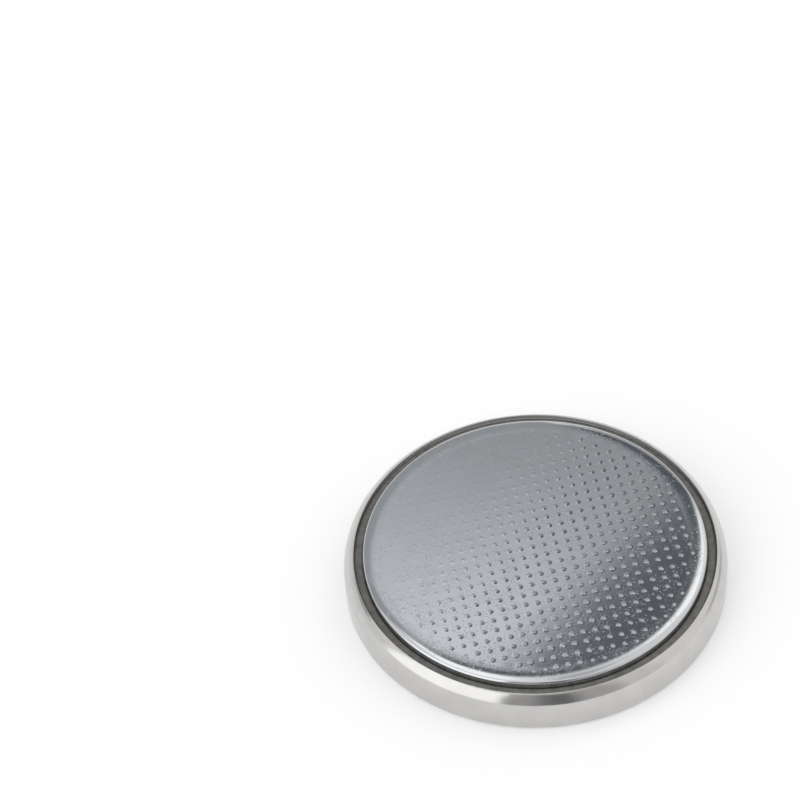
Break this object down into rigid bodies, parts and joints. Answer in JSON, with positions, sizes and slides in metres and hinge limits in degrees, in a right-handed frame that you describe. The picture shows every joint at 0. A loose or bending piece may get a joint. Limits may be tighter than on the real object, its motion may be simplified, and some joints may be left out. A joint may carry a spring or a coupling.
{
  "type": "lithium coin cell",
  "caption": "Flat round coin cell lying on its steel can, with a bumpy negative cap held by a dark gasket in a rolled crimp, and its electrodes inside.",
  "frame": {"origin": "middle of the can's flat face, which the cell lies on", "axes": "+Z along the cell's axis from the can's flat face to the cap; X and Y lie in the flat face, and the plus sign on it is on the +Y side"},
  "size_m": [0.02, 0.02, 0.0025],
  "materials": {
    "can_steel": "satin nickel-plated steel, fine grain, brighter on the crimp",
    "cap_steel": "satin nickel-plated steel with pressed bumps and a mottled belt",
    "gasket_plastic": "dark moulded plastic, slightly glossy edge",
    "mesh_steel": "expanded steel, dull",
    "pellet_black": "pressed black powder, matt",
    "separator_felt": "thin non-woven felt",
    "lithium_metal": "soft silvery foil, dull"
  },
  "bodies": {
    "root": {"positive_can": "can_steel", "sealing_gasket": "gasket_plastic", "negative_cap": "cap_steel", "cathode_collector": "mesh_steel", "cathode_pellet": "pellet_black", "separator": "separator_felt", "lithium_anode": "lithium_metal"}
  },
  "joints": []
}
